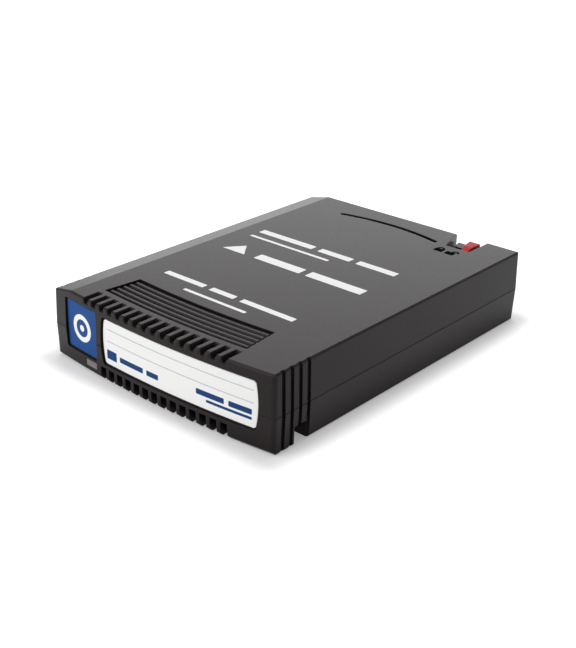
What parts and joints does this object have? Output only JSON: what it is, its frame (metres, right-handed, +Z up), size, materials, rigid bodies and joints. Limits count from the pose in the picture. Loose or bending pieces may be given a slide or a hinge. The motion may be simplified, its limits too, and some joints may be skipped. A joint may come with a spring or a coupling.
{
  "type": "removable disk cartridge",
  "caption": "Flat dark plastic cartridge with a bowed, finger-notched front, front labels, a red write-protect tab and a shock-mounted disk drive inside that plugs into a dock at the rear.",
  "frame": {"origin": "middle of the base, on the surface that the cartridge lies on", "axes": "+X to the right seen from the labelled front, +Y from the front to the rear connector, +Z up through the top with the grip panel"},
  "size_m": [0.086, 0.1189, 0.0232],
  "materials": {
    "shell": "fine moulded texture, dark grey ABS",
    "red_tab": "satin red ABS",
    "white_label": "satin white write-on film",
    "blue_label": "satin blue printed film",
    "grey_label": "light grey print",
    "black_plastic": "black glass-filled nylon",
    "contact": "gold-plated",
    "board": "green solder mask",
    "chip": "moulded epoxy",
    "bumper": "soft moulded rubber",
    "cast_aluminium": "die cast, bead blasted",
    "machined_aluminium": "turned",
    "sheet_steel": "stamped stainless sheet",
    "stator_steel": "plain steel",
    "yoke_steel": "nickel plated",
    "magnet": "nickel plated, sintered",
    "brass_sleeve": "turned",
    "disc": "polished, sputtered",
    "copper": "enamelled copper wire",
    "head": "lapped ceramic",
    "ramp_plastic": "natural acetal",
    "filter_fabric": "white filter fleece"
  },
  "bodies": {
    "case": {"top_shell": "shell", "bottom_shell": "shell", "write_label": "white_label", "square_label": "blue_label", "small_label": "grey_label", "dock_connector": "black_plastic", "dock_contacts": "contact", "adapter_board": "board", "drive_socket": "black_plastic", "front_bumper_left": "bumper", "front_bumper_right": "bumper", "rear_bumper_left": "bumper", "rear_bumper_right": "bumper", "drive_base": "cast_aluminium", "drive_cover": "sheet_steel", "cover_gasket": "bumper", "drive_circuit": "board", "circuit_chips": "chip", "drive_plug": "black_plastic", "spindle_sleeve": "brass_sleeve", "spindle_stator": "stator_steel", "pivot_post": "stator_steel", "lower_yoke": "yoke_steel", "upper_yoke": "yoke_steel", "lower_magnet": "magnet", "upper_magnet": "magnet", "parking_ramp": "ramp_plastic", "air_filter": "filter_fabric"},
    "write_protect": {"write_protect_slider": "red_tab"},
    "disc_pack": {"spindle_hub": "machined_aluminium", "platter": "disc", "disc_clamp": "machined_aluminium"},
    "actuator": {"actuator_arm": "machined_aluminium", "head_suspensions": "sheet_steel", "head_sliders": "head", "voice_coil": "copper"}
  },
  "joints": [
    {"name": "write_protect_slide", "type": "slide", "parent": "case", "child": "write_protect", "axis": [-1, 0, 0], "range_m": [0, 0.0042]},
    {"name": "platter_spin", "type": "hinge", "parent": "case", "child": "disc_pack", "pos_m": [0, -0.0138, 0.0132], "axis": [0, 0, 1], "continuous": true},
    {"name": "actuator_swing", "type": "hinge", "parent": "case", "child": "actuator", "pos_m": [-0.014, 0.02367, 0.0132], "axis": [0, 0, -1], "range_deg": [0, 29.7]}
  ]
}
